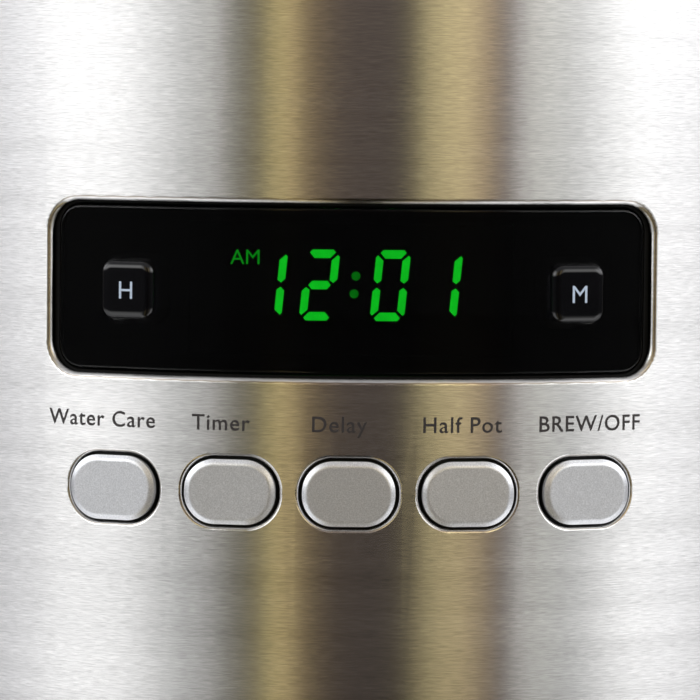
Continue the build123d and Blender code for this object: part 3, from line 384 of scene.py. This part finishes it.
def bare_metal(name, tone, roughness=0.34):
    """Aluminium or zinc-plated steel: tarnish clouds and fine scratches."""
    s = material(name)
    cloud = s.noise(s.place(), 70.0, 4.0, 0.6)
    scratch = s.noise(s.scaled(s.place(), (2400, 240, 800)), detail=3.0, roughness=0.7)
    return s.principled(
        Base_Color=s.mixed(s.spread(cloud, 0.3, 0.7), lighter(tone, 0.82), tone), Metallic=1.0,
        Roughness=s.spread(cloud, 0.3, 0.7, roughness - 0.06, roughness + 0.1),
        Normal=s.bump(scratch, 0.15, 0.02 * MM),
    )


def gold_mesh():
    """Fine woven screen: two crossed sets of wires."""
    s = material("gold_mesh")
    at = s.parts(s.place())
    back = s.math("SUBTRACT", at["Y"], BREW_Y)
    across = s.math("SINE", s.math("MULTIPLY", s.math("ARCTAN2", at["X"], back), 420.0))
    up = s.math("SINE", s.math("MULTIPLY", at["Z"], 2 * math.pi / (0.6 * MM)))
    weave = s.math("MAXIMUM", across, up)
    return s.principled(
        Base_Color=s.mixed(s.spread(weave, -0.2, 0.7), (0.10, 0.07, 0.02), (0.80, 0.60, 0.26)), Metallic=1.0,
        Roughness=0.32, Normal=s.bump(weave, 0.5, 0.1 * MM),
    )


def circuit_board():
    """Green solder mask with paler copper tracks under it."""
    s = material("circuit_board")
    at = s.parts(s.place())
    flat = s.put(s.node("ShaderNodeCombineXYZ"), X=at["X"], Y=s.math("ADD", at["Z"], at["Y"])).outputs[0]
    tracks = s.put(s.node("ShaderNodeTexBrick"), Vector=flat, Scale=170.0, Mortar_Size=0.05).outputs["Fac"]
    return s.principled(
        Base_Color=s.mixed(tracks, (0.010, 0.09, 0.035), (0.03, 0.20, 0.08)), Roughness=0.35,
        Normal=s.bump(tracks, 0.3, 0.03 * MM),
    )


def charcoal_cloth():
    """Woven bag over lumps of charcoal."""
    s = material("charcoal_cloth")
    weave = s.put(s.node("ShaderNodeTexWave"), Vector=s.place(), Scale=900.0, Distortion=3.0).outputs["Fac"]
    lumps = s.cells(s.place(), 420.0)
    return s.principled(
        Base_Color=s.mixed(weave, (0.10, 0.10, 0.105), (0.26, 0.26, 0.27)), Roughness=0.9,
        Normal=s.bump(s.math("ADD", lumps, weave), 0.6, 0.2 * MM),
    )


def glow(name, colour, strength):
    """A lit display segment, slightly uneven from the diode behind it."""
    s = material(name)
    patch = s.spread(s.noise(s.place(), 700.0, 2.0), 0.3, 0.7)
    light = s.node("ShaderNodeEmission")
    s.put(light, Color=s.mixed(patch, lighter(colour, 0.84), colour), Strength=strength)
    s.surface(light.outputs[0])
    return s.owner


def ink(name, tone):
    """Screen-printed ink, a little uneven where it lies over the brush lines."""
    s = material(name)
    wear = s.noise(s.scaled(s.around(), (900, 1, 4200)), detail=3.0, roughness=0.6)
    return s.principled(
        Base_Color=s.mixed(s.spread(wear, 0.3, 0.75), tone, lighter(tone, 1.35)),
        Roughness=s.spread(wear, 0.3, 0.7, 0.5, 0.65),
    )


STEEL_TONE = (0.90, 0.895, 0.89)
BLACK = moulded_plastic("black_plastic", (0.013, 0.013, 0.0135))
FINE_BLACK = moulded_plastic("fine_black_plastic", (0.010, 0.010, 0.011), 0.34, 1400.0, 0.012)
GREY = moulded_plastic("grey_plastic", (0.16, 0.16, 0.17))
WHITE = moulded_plastic("white_plastic", (0.74, 0.73, 0.70), 0.40, 1400.0)
PANEL_STEEL = brushed_steel("panel_steel", STEEL_TONE)
TRIM_STEEL = brushed_steel("trim_steel", STEEL_TONE, 0.7)
BAND_STEEL = brushed_steel("band_steel", STEEL_TONE, 0.7, 0.0)
GLOSS = gloss_black()
SILVER = satin_silver()
RUBBER = rubber()

FINISH = {
    RUBBER: ["rubber_feet", "cord_gland"],
    # lens gasket, LED module and carrier: far darker than the other rubber, partly their own black and partly
    # painted shade in the window's gap and behind the lens
    rubber("black_with_painted_shade", (0.0012, 0.0012, 0.0012)): ["lens_gasket", "led_module", "panel_carrier"],
    BLACK: ["base_pan", "base_housing", "column_housing", "rear_cover", "basket_holder", "carafe_handle",
            "carafe_lid", "top_deck", "tank_lid", "head_housing", "plate_ring"],
    FINE_BLACK: ["filter_basket", "head_chassis", "mesh_filter_frame", "shower_head"],
    PANEL_STEEL: ["control_panel"],
    TRIM_STEEL: ["base_band"],
    BAND_STEEL: ["carafe_band"],
    SILVER: ["button_filter_reset", "button_prog", "button_auto_on", "button_cups", "button_start_stop"],
    GLOSS: ["hour_key", "minute_key"],
    smoked_lens(): ["display_lens"],
    bare_metal("aluminium", (0.74, 0.75, 0.76), 0.40): ["heater_casting"],
    plate_coating(): ["warming_plate"],
    bare_metal("zinc_steel", (0.62, 0.62, 0.60), 0.32): [
        "heating_element", "heater_strap", "thermostats", "transformer", "housing_screws", "panel_screws",
        "handle_screws", "lid_hinge_pins", "basket_hinge_pin", "hose_clips", "valve_spring"],
    circuit_board(): ["power_board", "control_board"],
    silicone(): ["cold_hose", "riser_tube", "check_valve"],
    WHITE: ["thermal_fuse"],
    GREY: ["tact_switches", "relay", "charcoal_holder", "drip_valve"],
    milky_plastic(): ["water_tank"],
    clear_glass("clear_plastic", (0.93, 0.95, 0.96)): ["level_window"],
    charcoal_cloth(): ["charcoal_pod"],
    gold_mesh(): ["mesh_filter_screen"],
    clear_glass("glass", (0.97, 0.985, 0.98)): ["carafe_glass"],
}
for finish, members in FINISH.items():
    for member in members:
        slots = nodes[member].data.materials
        slots.clear()
        slots.append(finish)


# ---------------------------------------------------------------- thin printed and lit pieces
def mesh_object(name, mesh, body, finish):
    piece = bpy.data.objects.new(name, mesh)
    bpy.context.scene.collection.objects.link(piece)
    mesh.materials.append(finish)
    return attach(piece, body)


def raised(outlines, thickness):
    """A mesh of flat outlines, each a list of (x, y) points, raised along +Z."""
    shape = bmesh.new()
    for outline in outlines:
        low = [shape.verts.new((x, y, 0.0)) for x, y in outline]
        high = [shape.verts.new((x, y, thickness)) for x, y in outline]
        shape.faces.new(high)
        shape.faces.new(list(reversed(low)))
        for i in range(len(outline)):
            j = (i + 1) % len(outline)
            shape.faces.new((low[i], low[j], high[j], high[i]))
    bmesh.ops.recalc_face_normals(shape, faces=shape.faces)
    mesh = bpy.data.meshes.new("raised")
    shape.to_mesh(mesh)
    shape.free()
    return mesh


def lettering(words, cap_height, spacing=1.0, thickness=PRINT_T):
    """A mesh of words in the plain built-in font, with their left end at x 0 and the baseline at y 0."""
    curve = bpy.data.curves.new("words", "FONT")
    curve.body = words
    curve.size = cap_height / CAP_SHARE / MM
    curve.space_character = spacing
    curve.extrude = thickness / 2 / MM
    curve.resolution_u = 6
    maker = bpy.data.objects.new("words", curve)
    bpy.context.scene.collection.objects.link(maker)
    bpy.context.view_layer.update()
    graph = bpy.context.evaluated_depsgraph_get()
    mesh = bpy.data.meshes.new_from_object(maker.evaluated_get(graph))
    bpy.data.objects.remove(maker)
    bpy.data.curves.remove(curve)
    left = min(v.co.x for v in mesh.vertices)
    for vertex in mesh.vertices:
        vertex.co.x -= left
        vertex.co *= MM
        vertex.co.z += thickness / 2
    return mesh


CAP_SHARE = 0.729               # height of a capital as a share of the built-in font's size


def width_of(mesh):
    return max(v.co.x for v in mesh.vertices)


def bend_onto(mesh, x_arc, z, radius):
    """Wraps a flat mesh round the machine: x becomes arc length from the front, y height, z outward."""
    for vertex in mesh.vertices:
        angle = (vertex.co.x + x_arc) / radius
        out = radius + LIFT + vertex.co.z
        vertex.co = Vector((out * math.sin(angle), -out * math.cos(angle), z + vertex.co.y))
    mesh.update()
    return mesh


def stand_up(mesh, x, y, z):
    """Turns a flat mesh to face -Y, with its front at depth y."""
    for vertex in mesh.vertices:
        vertex.co = Vector((x + vertex.co.x, y - vertex.co.z, z + vertex.co.y))
    mesh.update()
    return mesh


# ---------------------------------------------------------------- clock
DIGIT_H = 11.5 * MM
DIGIT_W = 5.55 * MM
DIGIT_PITCH = 8.4 * MM
COLON_HALF = 5.70 * MM          # from the colon to the middle of the digit beside it
CLOCK_X = 0.62 * MM
CLOCK_Z = 325.38 * MM
SLANT = math.tan(math.radians(5.5))
DOT_R = 0.72 * MM
DOT_HEIGHTS = (-1.38 * MM, 1.50 * MM)
AM_CAP = 2.5 * MM
AM_X = -19.5 * MM
AM_Z = 328.66 * MM
TIME = "1201"
LED_T = 0.15 * MM
GREEN = (0.003, 0.47, 0.012)


def segment_outlines():
    """The seven segments of an upright digit about its own middle, in millimetres."""
    h = DIGIT_W / 2 / MM
    v = DIGIT_H / 2 / MM
    top = [(-h + 1.08, v), (h - 1.08, v), (h - 0.69, v - 0.48), (h - 1.5, v - 1.38), (1.5 - h, v - 1.38),
           (0.69 - h, v - 0.48)]
    right = [(h - 0.31, v - 0.88), (h, v - 1.2), (h, 0.96), (h - 0.62, 0.35), (h - 1.24, 0.8),
             (h - 1.24, v - 1.74)]
    bar = [(0.97 - h, 0.0), (1.55 - h, 0.69), (h - 1.55, 0.69), (h - 0.97, 0.0), (h - 1.55, -0.69),
           (1.55 - h, -0.69)]

    def flipped(points, across, over):
        return [(x * across, y * over) for x, y in points]

    return {
        "a": top, "b": right, "c": flipped(right, 1, -1), "d": flipped(top, 1, -1),
        "e": flipped(right, -1, -1), "f": flipped(right, -1, 1), "g": bar,
    }


CIRCLE_POINTS = 32
SEGMENTS = segment_outlines()
LIT = {"0": "abcdef", "1": "bc", "2": "abdeg"}


def slanted(points, x):
    return [(x + (px + py * SLANT) * MM, py * MM) for px, py in points]


def circle(x, y, radius):
    turn = 2 * math.pi / CIRCLE_POINTS
    return [(x + radius * math.cos(i * turn), y + radius * math.sin(i * turn)) for i in range(CIRCLE_POINTS)]


def clock():
    spots = [-COLON_HALF - DIGIT_PITCH, -COLON_HALF, COLON_HALF, COLON_HALF + DIGIT_PITCH]
    for place, (digit, x) in enumerate(zip(TIME, spots)):
        outlines = [slanted(SEGMENTS[letter], 0.0) for letter in LIT[digit]]
        lit = stand_up(raised(outlines, LED_T), CLOCK_X + x, MODULE_FACE_Y - LIFT, CLOCK_Z)
        mesh_object(f"clock_digit_{place + 1}", lit, "root", LIT_GREEN)
    dots = raised([circle(dy * SLANT, dy, DOT_R) for dy in DOT_HEIGHTS], LED_T)
    mesh_object("clock_colon", stand_up(dots, CLOCK_X, MODULE_FACE_Y - LIFT, CLOCK_Z), "root", DIM_GREEN)
    am = lettering("AM", AM_CAP, 1.0, LED_T)
    mesh_object("clock_am", stand_up(am, AM_X, MODULE_FACE_Y - LIFT, AM_Z), "root", AM_GREEN)


LIT_GREEN = glow("lit_green", GREEN, 11.5)
DIM_GREEN = glow("dim_green", GREEN, 2.9)
AM_GREEN = glow("am_green", GREEN, 5.0)
clock()


# ---------------------------------------------------------------- printed words
LABEL_CAP = 2.62 * MM
STRIKES = 2                     # the words are printed twice, a little apart, for bolder strokes
STRIKE = 0.07 * MM
STRIKE_LIFT = 0.003 * MM
LABEL_Z = 302.1 * MM
LABEL_SPACING = 1.10
# Plain function words, and the arc from the panel's middle to each word's own middle, in millimetres.
LABELS = {
    "filter_reset": ("Water Care", -41.75),
    "prog": ("Timer", -20.9),
    "auto_on": ("Delay", -1.6),
    "cups": ("Half Pot", 18.3),
    "start_stop": ("BREW/OFF", 40.1),
}
DARK_INK = ink("dark_ink", (0.021, 0.017, 0.018))
PALE_INK = ink("pale_ink", (0.37, 0.45, 0.56))


for name, (words, centre) in LABELS.items():
    for strike in range(STRIKES):
        mesh = lettering(words, LABEL_CAP, LABEL_SPACING)
        aside = centre * MM - width_of(mesh) / 2 + strike * STRIKE
        bend_onto(mesh, aside, LABEL_Z + strike * STRIKE, FRONT_R + strike * STRIKE_LIFT)
        mesh_object(f"label_{name}_{strike + 1}", mesh, "root", DARK_INK)


def key_letter(node, body, letter):
    """A letter in the middle of a clock key's flat face."""
    low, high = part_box(node)
    corners = [v.co for v in nodes[node].data.vertices]
    angle = KEY_ANGLES[node]
    outward = Vector((math.sin(angle), -math.cos(angle), 0.0))
    sideways = Vector((math.cos(angle), math.sin(angle), 0.0))
    face = max(c.dot(outward) for c in corners)
    mesh = lettering(letter, KEY_CAP)
    half = width_of(mesh) / 2
    z = (low[2] + high[2]) / 2 - KEY_CAP / 2
    for vertex in mesh.vertices:
        flat = vertex.co.copy()
        vertex.co = outward * (face + LIFT + flat.z) + sideways * (flat.x - half)
        vertex.co.z = z + flat.y
    mesh.update()
    mesh_object(f"{node}_letter", mesh, body, PALE_INK)


KEY_CAP = 2.95 * MM
KEY_ANGLES = {"hour_key": math.radians(-21.0), "minute_key": math.radians(21.35)}
key_letter("hour_key", "hour", "H")
key_letter("minute_key", "minute", "M")


# ---------------------------------------------------------------- cup scales
CUPS = (2, 4, 6, 8)
CUP_VOLUME = 148e-6             # five fluid ounces, in cubic metres
TANK_AREA = 84.8e-4             # water surface in the tank, in square metres
SCALE_CAP = 3.2 * MM
TICK_T = 0.5 * MM               # line width of a tick
TICK_LONG = 6.0 * MM
TICK_SHORT = 3.5 * MM
TICK_PARTS = 6                  # steps along a tick, so that it can bend round the bowl
NUMBER_GAP = 1.5 * MM
TANK_FLOOR = 2 * MM
WHITE_INK = ink("white_ink", (0.60, 0.60, 0.60))


def tick_outline(length, z):
    """A thin level bar that ends at x 0."""
    along = [-length * part / TICK_PARTS for part in range(TICK_PARTS + 1)]
    return [(x, z - TICK_T / 2) for x in reversed(along)] + [(x, z + TICK_T / 2) for x in along]


def scale_marks(level_of):
    """Ticks at every cup, with a number beside each even one; x 0 is the ticks' right end."""
    marks = []
    for cups in range(1, CUPS[-1] + 1):
        z = level_of(cups)
        length = TICK_LONG if cups in CUPS else TICK_SHORT
        marks.append(raised([tick_outline(length, z)], PRINT_T))
        if cups in CUPS:
            number = lettering(str(cups), SCALE_CAP)
            left = -TICK_LONG - NUMBER_GAP - width_of(number)
            for vertex in number.vertices:
                vertex.co.x += left
                vertex.co.y += z - SCALE_CAP / 2
            marks.append(number)
    return marks


def on_side(mesh, x, y):
    """Stands a flat mesh on a face that looks towards +X."""
    for vertex in mesh.vertices:
        vertex.co = Vector((x + LIFT + vertex.co.z, y + vertex.co.x, vertex.co.y))
    mesh.update()
    return mesh


def tank_level(cups):
    """Height to which that many cups fill the tank."""
    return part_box("water_tank")[0][2] + TANK_FLOOR + cups * CUP_VOLUME / TANK_AREA


def bowl_profile():
    """(height, outer radius) of the carafe's glass: the widest point in each slice of its height."""
    widest = {}
    for vertex in nodes["carafe_glass"].data.vertices:
        radius = math.hypot(vertex.co.x, vertex.co.y - BREW_Y)
        layer = int(vertex.co.z // BOWL_SLICE)
        if radius > widest.get(layer, (0.0, 0.0))[1]:
            widest[layer] = (vertex.co.z, radius)
    return sorted(widest.values())


def radius_at(height):
    """Outer radius of the bowl at a height, between its two nearest points."""
    for (low, low_r), (high, high_r) in zip(BOWL, BOWL[1:]):
        if low <= height <= high:
            return low_r + (high_r - low_r) * (height - low) / (high - low)
    return BOWL[-1][1]


def bowl_level(cups):
    """Height to which that many cups fill the bowl."""
    height = BOWL[0][0] + BOWL_FLOOR
    filled = 0.0
    while filled < cups * CUP_VOLUME:
        filled += math.pi * (radius_at(height) - BOWL_WALL) ** 2 * BOWL_STEP
        height += BOWL_STEP
    return height


def on_bowl(mesh, arc):
    """Wraps a flat mesh on the bowl, with x as arc length from its front."""
    for vertex in mesh.vertices:
        radius = radius_at(vertex.co.y)
        angle = (vertex.co.x + arc) / radius
        out = radius + BOWL_LIFT + vertex.co.z
        vertex.co = Vector((out * math.sin(angle), BREW_Y - out * math.cos(angle), vertex.co.y))
    mesh.update()
    return mesh


def print_scale(name, body, level_of, place):
    for number, mark in enumerate(scale_marks(level_of)):
        mesh_object(f"{name}_{number + 1}", place(mark), body, WHITE_INK)


BOWL_WALL = 2.4 * MM
BOWL_FLOOR = 4 * MM
BOWL_STEP = 0.2 * MM
BOWL_SLICE = 3 * MM             # thick enough to hold a ring of the outer surface
BOWL_LIFT = 0.06 * MM
BOWL_ARC = 62 * MM              # from the bowl's front round to the ticks' right ends
BOWL = bowl_profile()
COLUMN_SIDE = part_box("column_housing")[1][0]
WINDOW_RIM = 2 * MM
WINDOW_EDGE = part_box("level_window")[0][1] + WINDOW_RIM
print_scale("tank_mark", "root", tank_level, lambda mark: on_side(mark, COLUMN_SIDE, WINDOW_EDGE))
print_scale("carafe_mark", "carafe", bowl_level, lambda mark: on_bowl(mark, BOWL_ARC))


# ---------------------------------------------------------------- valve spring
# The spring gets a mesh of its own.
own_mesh(nodes["valve_spring"])


# ---------------------------------------------------------------- studio
# Tones round the horizon: degrees from the front towards +X, the colour that a mirror would show there,
# and how much brighter the same direction is below the horizon.
STUDIO = [
    (-180, (0.70, 0.70, 0.71), 1.0),
    (-100, (0.66, 0.66, 0.68), 1.0),
    (-78, (0.72, 0.72, 0.74), 1.2),
    (-62, (1.00, 1.00, 1.00), 1.25),
    (-50, (0.90, 0.90, 0.90), 1.2),
    (-35, (0.49, 0.49, 0.48), 0.5),
    (-28.5, (0.43, 0.42, 0.40), 0.3),
    (-25, (0.15, 0.14, 0.11), 1.0),
    (-20, (0.09, 0.077, 0.038), 1.6),
    (-15.5, (0.36, 0.29, 0.12), 1.9),
    (-13.5, (0.36, 0.27, 0.125), 1.6),
    (-10, (0.125, 0.085, 0.043), 0.5),
    (-3, (0.065, 0.046, 0.033), 0.0),
    (8, (0.052, 0.037, 0.029), 0.0),
    (11.5, (0.070, 0.056, 0.032), 0.0),
    (15, (0.36, 0.30, 0.15), 0.4),
    (22, (0.55, 0.44, 0.23), 0.5),
    (26, (0.38, 0.28, 0.16), 0.4),
    (31, (0.09, 0.06, 0.052), 0.2),
    (34, (0.40, 0.38, 0.36), 0.6),
    (39, (0.54, 0.535, 0.50), 0.9),
    (46, (0.56, 0.56, 0.55), 0.4),
    (60, (0.98, 0.98, 0.98), 1.3),
    (70, (0.96, 0.96, 0.97), 1.5),
    (100, (0.66, 0.66, 0.68), 1.0),
    (180, (0.70, 0.70, 0.71), 1.0),
]
STUDIO_GAIN = 3.65
BACKDROP = (0.98, 0.98, 0.99)
CEILING_TONE = (0.13, 0.13, 0.135)
# By how far a direction rises, as the sine of its angle over the horizon: where the tones from below change
# into those from above, how bright the room is over and under the horizon, and where the ceiling takes over.
LOW_TO_HIGH = (-0.26, -0.06)
OVER = (0.05, 0.22, 0.02, 1.0)
UNDER = (-0.42, -0.18, 0.36, 0.02)
CEILING = (0.46, 0.74)


def make_world():
    """What the machine mirrors. Straight to the camera, or through glass, it shows a plain pale backdrop."""
    world = bpy.data.worlds.new("studio")
    bpy.context.scene.world = world
    s = Shader(world, "ShaderNodeOutputWorld")
    direction = s.node("ShaderNodeTexCoord").outputs["Generated"]
    at = s.parts(direction)
    forward = s.math("MULTIPLY", at["Y"], -1.0)
    azimuth = s.math("ARCTAN2", at["X"], forward)
    turn = s.spread(azimuth, -math.pi, math.pi)
    stops = [((degrees + 180) / 360, tone, below) for degrees, tone, below in STUDIO]
    high = s.ramp(turn, [(position, tone) for position, tone, below in stops])
    low = s.ramp(turn, [(position, lighter(tone, below, 2.0)) for position, tone, below in stops])
    tones = s.mixed(s.spread(at["Z"], *LOW_TO_HIGH), low, high)
    # near the horizon the studio is dark, so flat gloss stays black; overhead it is an even grey ceiling
    room = s.math("MAXIMUM", s.spread(at["Z"], *OVER), s.spread(at["Z"], *UNDER))
    side = s.mixed(room, (0.0, 0.0, 0.0), tones)
    around = s.mixed(s.spread(at["Z"], *CEILING), side, CEILING_TONE)
    path = s.node("ShaderNodeLightPath")
    seen = s.math("MAXIMUM", path.outputs["Is Camera Ray"], path.outputs["Is Transmission Ray"])
    light = s.put(s.node("ShaderNodeBackground"), Color=around, Strength=STUDIO_GAIN)
    backdrop = s.put(s.node("ShaderNodeBackground"), Color=BACKDROP, Strength=1.0)
    mix = s.node("ShaderNodeMixShader")
    s.feed(mix.inputs[0], seen)
    s.tree.links.new(light.outputs[0], mix.inputs[1])
    s.tree.links.new(backdrop.outputs[0], mix.inputs[2])
    s.surface(mix.outputs[0])


FLOOR_R = 6.0


def make_floor():
    """Plain pale floor disc with a faint cast texture."""
    s = material("floor")
    cloud = s.noise(s.place(), 6.0, 4.0, 0.6)
    grain = s.noise(s.place(), 700.0, 2.0)
    s.principled(
        Base_Color=s.mixed(cloud, (0.78, 0.78, 0.785), (0.84, 0.84, 0.845)), Roughness=0.7,
        Normal=s.bump(grain, 0.1, 0.05 * MM),
    )
    shape = bmesh.new()
    bmesh.ops.create_circle(shape, cap_ends=True, segments=96, radius=FLOOR_R)
    mesh = bpy.data.meshes.new("floor")
    shape.to_mesh(mesh)
    shape.free()
    mesh.materials.append(s.owner)
    floor = bpy.data.objects.new("floor", mesh)
    bpy.context.scene.collection.objects.link(floor)
    floor.visible_glossy = False


make_world()
make_floor()
bpy.context.scene.view_settings.view_transform = "Standard"
